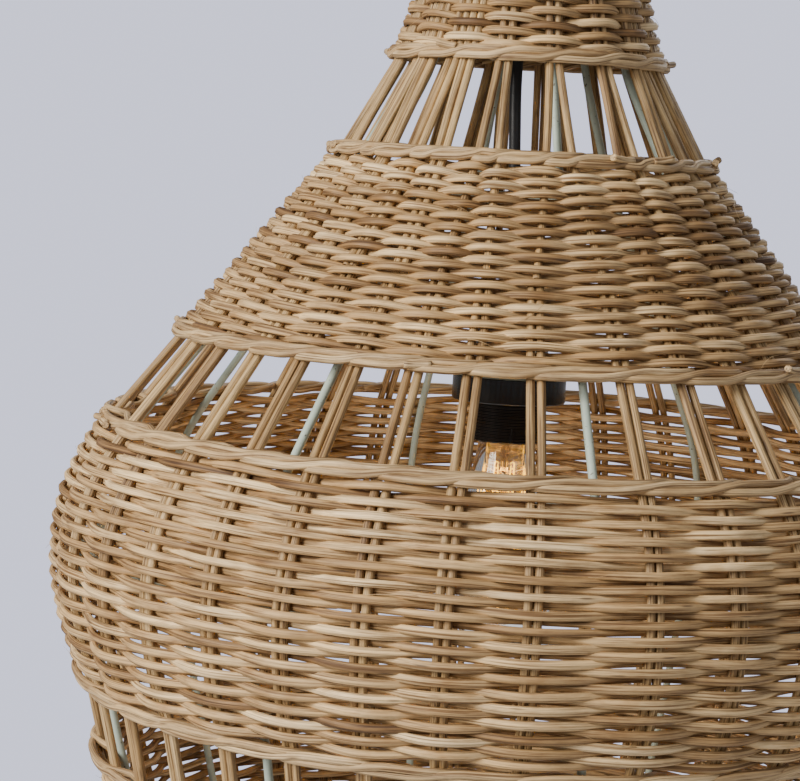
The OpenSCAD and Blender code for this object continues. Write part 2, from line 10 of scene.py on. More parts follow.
import bpy
import numpy as np
from mathutils import Matrix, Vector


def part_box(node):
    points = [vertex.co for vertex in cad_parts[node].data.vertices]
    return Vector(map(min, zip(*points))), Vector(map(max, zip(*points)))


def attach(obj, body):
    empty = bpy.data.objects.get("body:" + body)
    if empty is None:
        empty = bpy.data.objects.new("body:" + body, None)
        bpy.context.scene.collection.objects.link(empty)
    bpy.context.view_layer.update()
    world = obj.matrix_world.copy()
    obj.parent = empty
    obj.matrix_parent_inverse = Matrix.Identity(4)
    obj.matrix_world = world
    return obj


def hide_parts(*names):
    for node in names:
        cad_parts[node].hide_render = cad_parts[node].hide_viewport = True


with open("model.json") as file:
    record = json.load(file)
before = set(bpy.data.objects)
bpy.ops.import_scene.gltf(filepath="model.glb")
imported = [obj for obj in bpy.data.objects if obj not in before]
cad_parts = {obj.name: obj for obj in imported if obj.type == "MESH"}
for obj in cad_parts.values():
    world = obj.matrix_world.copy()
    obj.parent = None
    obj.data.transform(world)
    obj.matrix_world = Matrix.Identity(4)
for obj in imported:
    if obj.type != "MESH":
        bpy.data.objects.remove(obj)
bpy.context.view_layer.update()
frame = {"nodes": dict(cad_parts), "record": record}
MM = 0.001
rng = np.random.default_rng(23)

# ---- Camera ----
CAMERA_PLACE = (0, -1.3773, -0.27985)
CAMERA_DOWN = 5.553
CAMERA_YAW = -2.501
CAMERA_ROLL = 3.165
CAMERA_LENS_MM = 112.47
CAMERA_SENSOR_MM = 36
CAMERA_CLIP = (0.05, 60)


def placed(name, data):
    """A new object in the scene."""
    obj = bpy.data.objects.new(name, data)
    bpy.context.scene.collection.objects.link(obj)
    return obj


def make_camera():
    """Looks at the light from in front and a little above, with the roll of a hand-held shot."""
    data = bpy.data.cameras.new("camera")
    data.lens = CAMERA_LENS_MM
    data.sensor_width = CAMERA_SENSOR_MM
    data.clip_start, data.clip_end = CAMERA_CLIP
    camera = placed("camera", data)
    down, yaw, roll = (math.radians(x) for x in (CAMERA_DOWN, CAMERA_YAW, CAMERA_ROLL))
    level = math.cos(down)
    ahead = np.array([math.sin(yaw) * level, math.cos(yaw) * level, -math.sin(down)])
    right = np.array([math.cos(yaw), -math.sin(yaw), 0])
    up = np.cross(right, ahead)
    across = math.cos(roll) * right + math.sin(roll) * up
    upright = math.cos(roll) * up - math.sin(roll) * right
    turn = Matrix([across, upright, -ahead]).transposed()
    camera.matrix_world = Matrix.Translation(CAMERA_PLACE) @ turn.to_4x4()
    bpy.context.scene.camera = camera


# ---- Material helpers ----
def new_material(name):
    """A material with its node tree, its Principled shader and a shorthand for adding nodes."""
    material = bpy.data.materials.new(name)
    material.use_nodes = True
    tree = material.node_tree
    shader = tree.nodes["Principled BSDF"]

    def add(kind, **values):
        node = tree.nodes.new(kind)
        for key, value in values.items():
            if key.startswith("in_"):
                node.inputs[key[3:].replace("_", " ")].default_value = value
            else:
                setattr(node, key, value)
        return node

    return material, tree, shader, add


def ramp(add, tree, source, stops):
    """A colour ramp fed by source. stops are (position, colour or grey)."""
    node = add("ShaderNodeValToRGB")
    points = node.color_ramp.elements
    while len(points) < len(stops):
        points.new(0.5)
    for point, (position, colour) in zip(points, stops):
        point.position = position
        point.color = (colour, colour, colour, 1) if isinstance(colour, (int, float)) else (*colour, 1)
    tree.links.new(source, node.inputs["Fac"])
    return node.outputs["Color"]


def toned(colour, share):
    """A colour made lighter or darker."""
    return tuple(min(1, share * c) for c in colour)


def blend_colours(add, tree, kind, factor, first, second):
    """Mixes two colours. Each of factor, first and second is an output, or a value."""
    node = add("ShaderNodeMix", data_type="RGBA", blend_type=kind)
    sockets = node.inputs[0], node.inputs[6], node.inputs[7]
    for socket, value in zip(sockets, (factor, first, second)):
        if isinstance(value, bpy.types.NodeSocket):
            tree.links.new(value, socket)
        else:
            socket.default_value = value
    return node.outputs[2]


def bump(add, tree, shader, height, distance, strength):
    """Relief of a height output, distance deep."""
    node = add("ShaderNodeBump", in_Distance=distance, in_Strength=strength)
    tree.links.new(height, node.inputs["Height"])
    tree.links.new(node.outputs["Normal"], shader.inputs["Normal"])


def noise(add, tree, vector, scale, detail, roughness):
    """Noise with scale features to a metre of vector."""
    node = add("ShaderNodeTexNoise", in_Scale=scale, in_Detail=detail, in_Roughness=roughness)
    tree.links.new(vector, node.inputs["Vector"])
    return node.outputs["Fac"]


def stretched(add, tree, vector, scale):
    """vector with each axis scaled, so that noise is finer along one than along another."""
    node = add("ShaderNodeMapping")
    node.inputs["Scale"].default_value = scale
    tree.links.new(vector, node.inputs["Vector"])
    return node.outputs["Vector"]


# What the grain, the clouds and the pores of rattan multiply a strand's shade by
STREAK_STOPS = [(0.38, (0.34, 0.26, 0.18)), (0.48, (0.9, 0.86, 0.8)), (0.62, (1.26, 1.19, 1.06))]
CLOUD_STOPS = [(0.3, (0.66, 0.57, 0.46)), (0.5, (1, 1, 1)), (0.7, (1.2, 1.18, 1.12))]
PORE_STOPS = [(0.32, (0.5, 0.4, 0.3)), (0.47, (1, 1, 1)), (0.7, (1.06, 1.06, 1.06))]
BARK = (0.16, 0.085, 0.04, 1)
KNOT = (0.07, 0.04, 0.022, 1)


def rattan(name, shades, roughness, bark=0.35, grain=1050):
    """Peeled rattan core. The strands carry two attributes: tone, and rod, which is where a point is on the
    strand if it were straight, so that the grain runs along every strand round every bend.
    bark is how strongly the skin left on in places shows, and grain is the streaks to a metre across."""
    material, tree, shader, add = new_material(name)
    tone = add("ShaderNodeAttribute", attribute_name="tone").outputs["Fac"]
    rod = add("ShaderNodeAttribute", attribute_name="rod").outputs["Vector"]

    def grained(along, across, detail, coarseness):
        return noise(add, tree, stretched(add, tree, rod, (along, across, across)), 1.0, detail, coarseness)

    pores = grained(60, 2200, 3, 0.6)
    streaks = grained(14, grain, 4, 0.62)
    patches = grained(22, 60, 5, 0.65)
    clouds = grained(30, 90, 4, 0.6)
    colour = ramp(add, tree, tone, [(k / (len(shades) - 1), shade) for k, shade in enumerate(shades)])
    for factor, source, stops in (
            (1.0, streaks, STREAK_STOPS), (1.0, clouds, CLOUD_STOPS), (0.8, pores, PORE_STOPS)):
        colour = blend_colours(add, tree, "MULTIPLY", factor, colour, ramp(add, tree, source, stops))
    skin = ramp(add, tree, patches, [(0.58, 0.0), (0.7, bark)])
    colour = blend_colours(add, tree, "MIX", skin, colour, BARK)
    knots = add("ShaderNodeTexVoronoi", in_Scale=1.0, in_Randomness=1.0)
    tree.links.new(stretched(add, tree, rod, (26, 240, 240)), knots.inputs["Vector"])
    dark = ramp(add, tree, knots.outputs["Distance"], [(0.05, 0.75), (0.13, 0.0)])
    colour = blend_colours(add, tree, "MIX", dark, colour, KNOT)
    tree.links.new(colour, shader.inputs["Base Color"])
    rough = ramp(add, tree, streaks, [(0.3, roughness + 0.14), (0.7, roughness - 0.08)])
    tree.links.new(rough, shader.inputs["Roughness"])
    shader.inputs["Specular IOR Level"].default_value = 0.42
    height = blend_colours(add, tree, "ADD", 0.5, pores, streaks)
    bump(add, tree, shader, height, 0.4 * MM, 0.9)
    return material


def painted_wire(name, paint, chip):
    """Thin paint over steel wire, with chips, scuffs and a little dust."""
    material, tree, shader, add = new_material(name)
    place = add("ShaderNodeTexCoord").outputs["Object"]
    broad = noise(add, tree, place, 45, 5, 0.6)
    fine = noise(add, tree, place, 520, 4, 0.6)
    colour = ramp(add, tree, broad, [(0.3, toned(paint, 0.8)), (0.55, paint), (0.75, toned(paint, 1.12))])
    chips = ramp(add, tree, fine, [(0.64, 0.0), (0.68, 0.95)])
    colour = blend_colours(add, tree, "MIX", chips, colour, (*chip, 1))
    tree.links.new(colour, shader.inputs["Base Color"])
    tree.links.new(ramp(add, tree, broad, [(0.3, 0.6), (0.7, 0.42)]), shader.inputs["Roughness"])
    bump(add, tree, shader, fine, 0.12 * MM, 0.6)
    return material


def moulded(name, colour, roughness, grain=900, coat=0.0):
    """Moulded plastic or bakelite: a fine grain in the gloss, faint mottling and handling marks."""
    material, tree, shader, add = new_material(name)
    place = add("ShaderNodeTexCoord").outputs["Object"]
    mottle = noise(add, tree, place, 60, 5, 0.6)
    fine = noise(add, tree, place, grain, 3, 0.5)
    marks = noise(add, tree, stretched(add, tree, place, (140, 140, 22)), 1.0, 4, 0.7)
    mottled = ramp(add, tree, mottle, [(0.3, toned(colour, 0.82)), (0.7, toned(colour, 1.16))])
    tree.links.new(mottled, shader.inputs["Base Color"])
    handled = ramp(add, tree, marks, [
        (0.35, max(0.03, roughness - 0.05)), (0.6, roughness), (0.72, roughness + 0.16)])
    tree.links.new(handled, shader.inputs["Roughness"])
    shader.inputs["Coat Weight"].default_value = coat
    shader.inputs["Coat Roughness"].default_value = 0.08
    bump(add, tree, shader, fine, 0.05 * MM, 0.35)
    return material


def bare_metal(name, colour, roughness, stain):
    """Metal with brushed streaks round it, tarnish and fine scratches."""
    material, tree, shader, add = new_material(name)
    place = add("ShaderNodeTexCoord").outputs["Object"]
    tarnish = noise(add, tree, place, 110, 6, 0.65)
    brushed = noise(add, tree, stretched(add, tree, place, (90, 90, 2400)), 1.0, 3, 0.6)
    base = ramp(add, tree, brushed, [(0.3, toned(colour, 0.85)), (0.7, colour)])
    spots = ramp(add, tree, tarnish, [(0.52, 0.0), (0.72, 0.7)])
    spotted = blend_colours(add, tree, "MIX", spots, base, (*stain, 1))
    tree.links.new(spotted, shader.inputs["Base Color"])
    shader.inputs["Metallic"].default_value = 1.0
    dulled = ramp(add, tree, tarnish, [(0.35, roughness), (0.75, roughness + 0.25)])
    tree.links.new(dulled, shader.inputs["Roughness"])
    bump(add, tree, shader, brushed, 0.03 * MM, 0.5)
    return material


def powder_coat(name, colour):
    """Satin powder coat with its orange-peel surface."""
    material, tree, shader, add = new_material(name)
    place = add("ShaderNodeTexCoord").outputs["Object"]
    peel = noise(add, tree, place, 700, 2, 0.4)
    broad = noise(add, tree, place, 30, 5, 0.6)
    shaded = ramp(add, tree, broad, [(0.3, toned(colour, 0.9)), (0.7, toned(colour, 1.08))])
    tree.links.new(shaded, shader.inputs["Base Color"])
    tree.links.new(ramp(add, tree, broad, [(0.3, 0.36), (0.7, 0.48)]), shader.inputs["Roughness"])
    bump(add, tree, shader, peel, 0.1 * MM, 0.4)
    return material


def clear_glass(name, tint):
    """Clear glass with a trace of dust. It lets the light of the lamps through to what is behind it."""
    material, tree, shader, add = new_material(name)
    place = add("ShaderNodeTexCoord").outputs["Object"]
    dust = noise(add, tree, place, 260, 6, 0.7)
    tree.links.new(ramp(add, tree, dust, [(0.4, tint), (0.8, toned(tint, 0.9))]), shader.inputs["Base Color"])
    tree.links.new(ramp(add, tree, dust, [(0.45, 0.0), (0.8, 0.06)]), shader.inputs["Roughness"])
    shader.inputs["Transmission Weight"].default_value = 1.0
    shader.inputs["IOR"].default_value = 1.42
    shadow = add("ShaderNodeLightPath").outputs["Is Shadow Ray"]
    tree.links.new(ramp(add, tree, shadow, [(0.0, 1.0), (1.0, 0.08)]), shader.inputs["Alpha"])
    return material


def glowing_wire(name, colour, strength):
    """Hot filament, unevenly bright."""
    material, tree, shader, add = new_material(name)
    place = add("ShaderNodeTexCoord").outputs["Object"]
    uneven = noise(add, tree, stretched(add, tree, place, (30, 30, 90)), 1.0, 3, 0.5)
    glow = ramp(add, tree, uneven, [(0.3, toned(colour, 0.7)), (0.7, colour)])
    tree.links.new(glow, shader.inputs["Emission Color"])
    shader.inputs["Emission Strength"].default_value = strength
    wire = ramp(add, tree, uneven, [(0.3, (0.25, 0.12, 0.05)), (0.7, (0.4, 0.2, 0.08))])
    tree.links.new(wire, shader.inputs["Base Color"])
    shader.inputs["Roughness"].default_value = 0.5
    return material


WEAVER_SHADES = [(0.21, 0.12, 0.05), (0.35, 0.22, 0.1), (0.48, 0.325, 0.165), (0.6, 0.43, 0.235),
                 (0.73, 0.56, 0.34)]
BORDER_SHADES = [(0.27, 0.165, 0.08), (0.4, 0.275, 0.145), (0.51, 0.37, 0.21), (0.62, 0.475, 0.29)]
STAKE_SHADES = [(0.24, 0.145, 0.065), (0.36, 0.24, 0.115), (0.46, 0.325, 0.165), (0.55, 0.41, 0.23)]


def make_materials():
    """One material for each of the record's slots."""
    return {
        "weave_rattan": rattan("weave_rattan", WEAVER_SHADES, 0.56),
        "border_rattan": rattan("border_rattan", BORDER_SHADES, 0.54),
        "stake_rattan": rattan("stake_rattan", STAKE_SHADES, 0.5, bark=0.5, grain=1250),
        "frame_paint": painted_wire("frame_paint", (0.42, 0.49, 0.41), (0.09, 0.07, 0.05)),
        "bracket_steel": bare_metal("bracket_steel", (0.56, 0.57, 0.58), 0.34, (0.33, 0.33, 0.33)),
        "cup_paint": powder_coat("cup_paint", (0.016, 0.016, 0.018)),
        "brass": bare_metal("brass", (0.78, 0.57, 0.24), 0.26, (0.42, 0.28, 0.12)),
        "cream_plastic": moulded("cream_plastic", (0.74, 0.7, 0.6), 0.4),
        "grip_plastic": moulded("grip_plastic", (0.012, 0.012, 0.013), 0.3),
        "flex_sheath": moulded("flex_sheath", (0.014, 0.014, 0.016), 0.42, grain=1500),
        "core_sheath": moulded("core_sheath", (0.2, 0.085, 0.035), 0.38),
        "bakelite": moulded("bakelite", (0.009, 0.009, 0.009), 0.2, coat=0.25),
        "nickel": bare_metal("nickel", (0.66, 0.64, 0.6), 0.2, (0.4, 0.38, 0.34)),
        "vitrite": moulded("vitrite", (0.02, 0.02, 0.028), 0.12, coat=0.6),
        "solder": bare_metal("solder", (0.62, 0.62, 0.6), 0.38, (0.36, 0.35, 0.33)),
        "cap_brass": bare_metal("cap_brass", (0.82, 0.66, 0.36), 0.22, (0.5, 0.36, 0.18)),
        "bulb_glass": clear_glass("bulb_glass", (1.0, 0.95, 0.86)),
        "stem_glass": clear_glass("stem_glass", (0.85, 0.78, 0.66)),
        "support_wire": bare_metal("support_wire", (0.5, 0.48, 0.45), 0.35, (0.3, 0.27, 0.24)),
        "filament": glowing_wire("filament", (1.0, 0.5, 0.02), 5.0),
    }


# ---- What the frame says of the shade ----
def points_of(node):
    mesh = frame["nodes"][node].data
    found = np.empty(len(mesh.vertices) * 3, np.float32)
    mesh.vertices.foreach_get("co", found)
    return found.reshape(-1, 3).astype(float)


def ring_middle(node):
    """(radius, height) that a border's two rings lie on both sides of."""
    at = points_of(node)
    r = np.hypot(at[:, 0], at[:, 1])
    return (r.min() + r.max()) / 2, (at[:, 2].min() + at[:, 2].max()) / 2


def widest(node):
    """(radius, height) of the outline where the belly's two layers are widest."""
    at = points_of(node)
    r = np.hypot(at[:, 0], at[:, 1])
    z = at[r > r.max() - 0.05 * MM][:, 2].mean()
    there = r[abs(at[:, 2] - z) < 0.5 * MM]
    return (there.min() + there.max()) / 2, z


def azimuths(nodes, apart):
    """Middle azimuths of the groups that the nodes' points fall in, apart or more from each other."""
    at = np.vstack([points_of(n) for n in nodes])
    a = np.sort(np.degrees(np.arctan2(at[:, 0], -at[:, 1])) % 360)
    first = np.flatnonzero(np.diff(np.append(a[-1] - 360, a)) > apart)
    a = np.roll(a, -first[0])
    a = np.where(a < a[0], a + 360, a)
    cuts = np.flatnonzero(np.diff(a) > apart) + 1
    return np.array([(group[0] + group[-1]) / 2 for group in np.split(a, cuts)])


NECK_TOP = ring_middle("neck_top_border")
NECK_FOOT = ring_middle("neck_foot_border")
SHOULDER_TOP = ring_middle("shoulder_top_border")
SHOULDER_FOOT = ring_middle("shoulder_foot_border")
BELLY_TOP = ring_middle("belly_top_border")
BELLY = widest("belly_weave")
BELLY_FOOT = ring_middle("belly_foot_border")
HEM_TOP = ring_middle("hem_top_border")
HEM_FOOT = ring_middle("hem_foot_border")
BANDS = {
    "neck": (NECK_TOP, NECK_FOOT), "shoulder": (SHOULDER_TOP, SHOULDER_FOOT),
    "belly": (BELLY_TOP, BELLY_FOOT), "hem": (HEM_TOP, HEM_FOOT),
}
LOWER_STAKES = ["lower_stakes_front", "lower_stakes_right", "lower_stakes_back", "lower_stakes_left"]
SPLICE_Z = (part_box("lower_stakes_front")[1].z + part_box("upper_stakes")[0].z) / 2
# Degrees of nothing between the points of one column, or rod, and those of the next
GROUP_APART = 3
COLUMNS = azimuths(LOWER_STAKES, GROUP_APART)
RODS = azimuths(["frame_rods"], GROUP_APART)


def belly_curve(end, steps=12):
    """The belly's parabola from its widest point to an edge of its band."""
    share = np.linspace(0, 1, steps + 1)[1:]
    return [(BELLY[0] - (BELLY[0] - end[0]) * s * s, BELLY[1] + (end[1] - BELLY[1]) * s) for s in share]


OUTLINE = np.array(
    [NECK_TOP, NECK_FOOT, SHOULDER_TOP, SHOULDER_FOOT, *belly_curve(BELLY_TOP)[::-1], BELLY,
     *belly_curve(BELLY_FOOT), HEM_TOP, HEM_FOOT])
BEYOND = 0.02


def run_on(inner, end):
    """The point BEYOND past the outline's end, straight on."""
    return end + (end - inner) * BEYOND / abs(end[1] - inner[1])


LINE = np.vstack([run_on(OUTLINE[1], OUTLINE[0]), OUTLINE, run_on(OUTLINE[-2], OUTLINE[-1])])


def radius_at(z):
    """The outline's radius at each height."""
    return np.interp(-np.asarray(z, float), -LINE[:, 1], LINE[:, 0])


def outward_at(z, reach=3 * MM):
    """(radial share, height share) of the outline's normal, averaged over a short reach."""
    z = np.asarray(z, float)
    slope = (radius_at(z - reach) - radius_at(z + reach)) / (2 * reach)
    size = np.sqrt(1 + slope * slope)
    return 1 / size, slope / size


def in_twos(columns):
    """Middle azimuths of each two neighbouring columns."""
    return columns.reshape(-1, 2).mean(axis=1)


def column_angles(z):
    """Azimuths of the 32 columns at a height: close twos in the neck that spread down to the splice."""
    twos = in_twos(COLUMNS)
    spread = np.degrees(np.arcsin(STAKE_APART / 2 / NECK_FOOT[0]))
    close = np.stack([twos - spread, twos + spread], axis=1).ravel()
    share = np.clip((NECK_FOOT[1] - z) / (NECK_FOOT[1] - SPLICE_Z), 0, 1)
    return close * (1 - share) + COLUMNS * share


# ---- Strands ----
STAKE_R = 2.25 * MM
STAKE_APART = 4.35 * MM
WEAVER_R = 1.9 * MM
WEAVER_SPREAD = 1.24
ROW_PITCH = 3.86 * MM
STRAND_R = 2.2 * MM
BORDER_H = 8 * MM


class Strands:
    """Collects round strands into one mesh, with each point's tone and its place along and round a strand."""

    def __init__(self):
        self.points, self.faces, self.rods, self.tones = [], [], [], []
        self.count = 0

    def add(self, path, out, radius, tone, sides=6, taper=0.0, spread=1.0):
        """A strand along path. out points away from the shade at each point, and radius is one or many.
        spread is how much wider the strand is along the shade than across it."""
        path, out = np.asarray(path, float), np.asarray(out, float)
        n = len(path)
        radius = np.broadcast_to(np.asarray(radius, float), (n,)).copy()
        if taper:
            radius *= 1 - taper * np.linspace(0, 1, n)
        along = np.append(0, np.cumsum(np.linalg.norm(np.diff(path, axis=0), axis=1)))
        tangent = np.gradient(path, axis=0)
        tangent /= np.linalg.norm(tangent, axis=1, keepdims=True)
        side = out - (out * tangent).sum(axis=1, keepdims=True) * tangent
        side /= np.linalg.norm(side, axis=1, keepdims=True)
        up = np.cross(tangent, side)
        turn = np.arange(sides) * 2 * np.pi / sides
        ring = np.cos(turn)[:, None] * side[:, None] + spread * np.sin(turn)[:, None] * up[:, None]
        self.points.append((path[:, None] + radius[:, None, None] * ring).reshape(-1, 3))
        rod = np.empty((n, sides, 3))
        rod[..., 0] = along[:, None] + rng.uniform(0, 50)
        rod[..., 1] = radius[:, None] * np.cos(turn) + rng.uniform(0, 1)
        rod[..., 2] = radius[:, None] * np.sin(turn)
        self.rods.append(rod.reshape(-1, 3))
        self.tones.append(np.repeat(np.broadcast_to(np.asarray(tone, float), (n,)), sides))
        i, k = np.meshgrid(np.arange(n - 1), np.arange(sides), indexing="ij")
        a, b = i * sides + k, i * sides + (k + 1) % sides
        quads = np.stack([a, a + sides, b + sides, b], axis=-1).reshape(-1, 4)[:, ::-1] + self.count
        self.faces.extend(quads.tolist())
        self.faces.append([self.count + k for k in range(sides)][::-1])
        self.faces.append([self.count + (n - 1) * sides + k for k in range(sides)])
        self.count += n * sides

    def piece(self, name, material, body, slot, *nodes):
        """Makes the mesh, with its attributes and material, and finishes it as a piece."""
        mesh = bpy.data.meshes.new(name)
        mesh.from_pydata(np.vstack(self.points).tolist(), [], self.faces)
        mesh.polygons.foreach_set("use_smooth", np.array([len(f) == 4 for f in self.faces]))
        tone = mesh.attributes.new("tone", "FLOAT", "POINT")
        tone.data.foreach_set("value", np.concatenate(self.tones).astype(np.float32))
        rod = mesh.attributes.new("rod", "FLOAT_VECTOR", "POINT")
        rod.data.foreach_set("vector", np.vstack(self.rods).astype(np.float32).ravel())
        return finish_piece(mesh, name, material, body, slot, *nodes)


def finish_piece(mesh, name, material, body, slot, *nodes):
    """Puts a mesh in the scene, rides it on the body and stands it for the nodes."""
    obj = placed(name, mesh)
    mesh.materials.append(material)
    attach(obj, body)
    if nodes:
        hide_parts(*nodes)
    return obj


def on_shade(azimuth, z, off):
    """Points at an azimuth and height, pushed out of the outline by off, and the direction that is out."""
    azimuth, z, off = np.broadcast_arrays(np.radians(azimuth), z, off)
    radial, rise = outward_at(z)
    r = radius_at(z) + off * radial
    at = np.stack([r * np.sin(azimuth), -r * np.cos(azimuth), z + off * rise], axis=-1)
    out = np.stack([radial * np.sin(azimuth), -radial * np.cos(azimuth), rise], axis=-1)
    return at, out


# Radians that each wave of the wander shifts by from row to row
ROW_DRIFT = 0.12


class Wander:
    """A smooth wave round the shade that shifts slowly from row to row, as hand-woven rows do."""

    def __init__(self, harmonics, size):
        self.waves = [
            (m, rng.uniform(0, 2 * np.pi), rng.normal(0, ROW_DRIFT), size / math.sqrt(m)) for m in harmonics]

    def at(self, azimuth, row):
        a = np.radians(azimuth)
        return sum(s * np.sin(m * a + start + drift * row) for m, start, drift, s in self.waves)


def rows_between(hi, lo):
    """Heights of the rows of weavers between a band's two borders, a pitch apart on the surface."""
    z = np.linspace(hi, lo, 400)
    step = np.hypot(np.diff(radius_at(z)), np.diff(z))
    along = np.append(0, np.cumsum(step))
    free = along[-1] - BORDER_H
    count = round(free / ROW_PITCH)
    at = BORDER_H / 2 + (np.arange(count) + 0.5) * free / count
    return np.interp(at, along, z)


def past_columns(columns, along):
    """Azimuths of places along a row, counted in columns. Also the column before each place, its share of the
    way to the next column, and the degrees between those two."""
    count = len(columns)
    whole = np.floor(along).astype(int)
    here = columns[whole % count] + 360 * (whole // count)
    after = columns[(whole + 1) % count] + 360 * ((whole + 1) // count)
    part = along - whole
    return here + part * (after - here), whole, part, after - here


# Points of a strand from one column to the next
BAND_STEPS = 9
NECK_STEPS = 11
WALE_STEPS = 12
# How much a weaver and a stake flatten each other
PRESS = 0.15 * MM
# How uneven the rows are: waves that they share, each strand's own wander, and its push off the stakes
WANDER_WAVES = (2, 3, 5, 8, 13)
WANDER = 0.7 * MM
OWN_WANDER_MM = 0.26
PUSH = 0.07
# Columns nearer than this make a strand turn more sharply, most of all when they are TURN_RANGE nearer
TURN_BELOW = 0.034
TURN_RANGE = 0.014
TURN = 0.3
# A strand goes out and in nearly level, whatever the slope of the shade: the share of the slope taken back
LEVELLED = 0.5
LEVELLED_MOST = 0.36
TONE_OF_ROW = (0.5, 0.14)
TONE_OF_STRAND = 0.2


def weave(name, top, foot, twos):
    """One band of plain weave: at each column every row passes on the other side from the row above it."""
    strands = Strands()
    wander = Wander(WANDER_WAVES, WANDER)
    for row, z in enumerate(rows_between(top[1], foot[1])):
        columns = in_twos(column_angles(z)) if twos else column_angles(z)
        count = len(columns)
        steps = NECK_STEPS if twos else BAND_STEPS
        radial, slope = outward_at(z)
        starts = sorted(rng.choice(np.arange((row + 1) % 2, count, 2), rng.integers(1, 3), replace=False))
        row_tone = rng.normal(*TONE_OF_ROW)
        for k, start in enumerate(starts):
            length = (starts[(k + 1) % len(starts)] - start - 1) % count + 1
            along = start + np.arange(length * steps + 1) / steps
            azimuth, whole, part, gap = past_columns(columns, along)
            # 1 where the strand passes outside a column and -1 where it passes inside
            swing = np.where((whole + row) % 2 == 0, 1, -1) * np.cos(np.pi * part)
            sharp = np.clip((TURN_BELOW - np.radians(gap) * radius_at(z)) / TURN_RANGE, 0, 1)
            swing = swing + TURN * sharp * (swing - swing**3)
            push = 1 + PUSH * rng.normal(size=count)
            reach = STAKE_R + WEAVER_R - PRESS
            off = reach * swing * np.interp(along, np.arange(2 * count), np.tile(push, 2))
            bow = PRESS * swing - off * min(LEVELLED * slope / radial, LEVELLED_MOST)
            drift = wander.at(azimuth, row)
            own = rng.normal(0, OWN_WANDER_MM, count)
            own = np.interp(along, np.arange(2 * count), np.tile(own, 2)) * MM
            at, out = on_shade(azimuth, z + bow + drift + own, off)
            turned = np.radians(azimuth)
            thick = WEAVER_R * (1 + 0.05 * rng.normal()) * (1 + 0.03 * np.sin(9 * turned + row))
            thick = np.minimum(thick, 1.06 * WEAVER_R)
            tone = row_tone + rng.normal(0, TONE_OF_STRAND) + 0.12 * np.sin(turned * 4 + 2.3 * row)
            strands.add(at, out, thick, np.clip(tone, 0, 1), spread=WEAVER_SPREAD)
    piece = name + "_weavers"
    strands.piece(piece, materials["weave_rattan"], "shade", "weave_rattan", name + "_weave")


# A wale strand's cycle is three columns long. Shares of it: where the strand is inside the shade and for how
# long, and where it starts to climb over the other two strands and to fall again, and how long that takes
WALE_INSIDE, WALE_INSIDE_FOR = 5 / 6, 0.11
WALE_CLIMB, WALE_CLIMB_FOR = 0.2, 0.26
WALE_FALL, WALE_FALL_FOR = 0.72, 0.24
# How far off the stakes it lies outside, and how far it goes in, in shares of how far out it is
WALE_OFF = 0.5 * MM
WALE_IN = 2.02
WALE_CLIMB_H = 2 * 0.92 * STRAND_R
WALE_JITTER_MM = 0.25
WALE_LEVELLED_MOST = 0.9
WALE_R = 0.98 * STRAND_R
# Azimuths where the end of a strand sticks out of a border, besides RANDOM_ENDS that any border has
BORDER_ENDS = {"neck_foot": [78, -84, -92], "shoulder_top": [80, 96, -88]}
RANDOM_ENDS = 4


def eased(share):
    """0 before a move and 1 after it, with a smooth start and end."""
    share = np.clip(share, 0, 1)
    return share * share * (3 - 2 * share)


def strand_end(strands, edge, azimuth):
    """A short end of a strand that lies on a border and lifts off it."""
    share = np.linspace(0, 1, 8)
    side = rng.choice([-1, 1])
    reach = rng.uniform(9, 15) * MM
    round_to = azimuth + side * np.degrees(reach * share / edge[0])
    off = STAKE_R + 1.6 * STRAND_R + rng.uniform(2, 4) * MM * share**2
    height = edge[1] + rng.uniform(-2, 2.5) * MM + rng.uniform(-2, 2) * MM * share
    at, out = on_shade(round_to, height, off)
    strands.add(at, out, STRAND_R * 0.85, rng.uniform(0.35, 0.9), sides=8)


def border(name, edge, into, twos):
    """A wale: three strands, each outside two columns and inside the third, one column on from each other.
    One path that goes round three times is all three strands. into is which way the band lies, 1 for up."""
    strands = Strands()
    columns = in_twos(column_angles(edge[1])) if twos else column_angles(edge[1])
    count = len(columns)
    back = int(np.argmin(np.cos(np.radians(columns))))
    begin = back - back % 3 + 2.5
    along = begin + np.arange(3 * count * WALE_STEPS + 1) / WALE_STEPS
    azimuth = past_columns(columns, along)[0]
    cycle = (along % 3) / 3
    inside = np.exp(-(((cycle - WALE_INSIDE + 0.5) % 1 - 0.5) / WALE_INSIDE_FOR) ** 2)
    off = (STAKE_R + STRAND_R + WALE_OFF) * (1 - WALE_IN * np.clip(1.25 * inside, 0, 1))
    level = eased((cycle - WALE_CLIMB) / WALE_CLIMB_FOR) - eased((cycle - WALE_FALL) / WALE_FALL_FOR)
    jitter = np.interp(along, np.arange(4 * count), rng.normal(0, WALE_JITTER_MM, 4 * count)) * MM
    radial, slope = outward_at(edge[1] + into * 2 * MM)
    levelled = (off - STAKE_R - STRAND_R) * min(slope / radial, WALE_LEVELLED_MOST)
    rise = (level - 0.5) * WALE_CLIMB_H + jitter - levelled
    at, out = on_shade(azimuth, np.full(len(along), edge[1]), off)
    turned = np.radians(azimuth)
    upward = np.stack([-slope * np.sin(turned), slope * np.cos(turned), np.full(len(along), radial)], axis=-1)
    tone = 0.55 + 0.17 * np.sin(turned * 1.7) + 0.12 * np.sin(turned * 5.3)
    strands.add(at + rise[:, None] * upward, out, WALE_R, np.clip(tone, 0, 1), sides=8)
    for azimuth in BORDER_ENDS.get(name, []) + list(rng.uniform(0, 360, RANDOM_ENDS)):
        strand_end(strands, edge, azimuth)
    strands.piece(name + "_wale", materials["border_rattan"], "shade", "border_rattan", name + "_border")


STAKE_STEP = 7 * MM
# Wavelengths over 2 pi of a stake's lean
LEAN_WAVES = (0.045, 0.019)


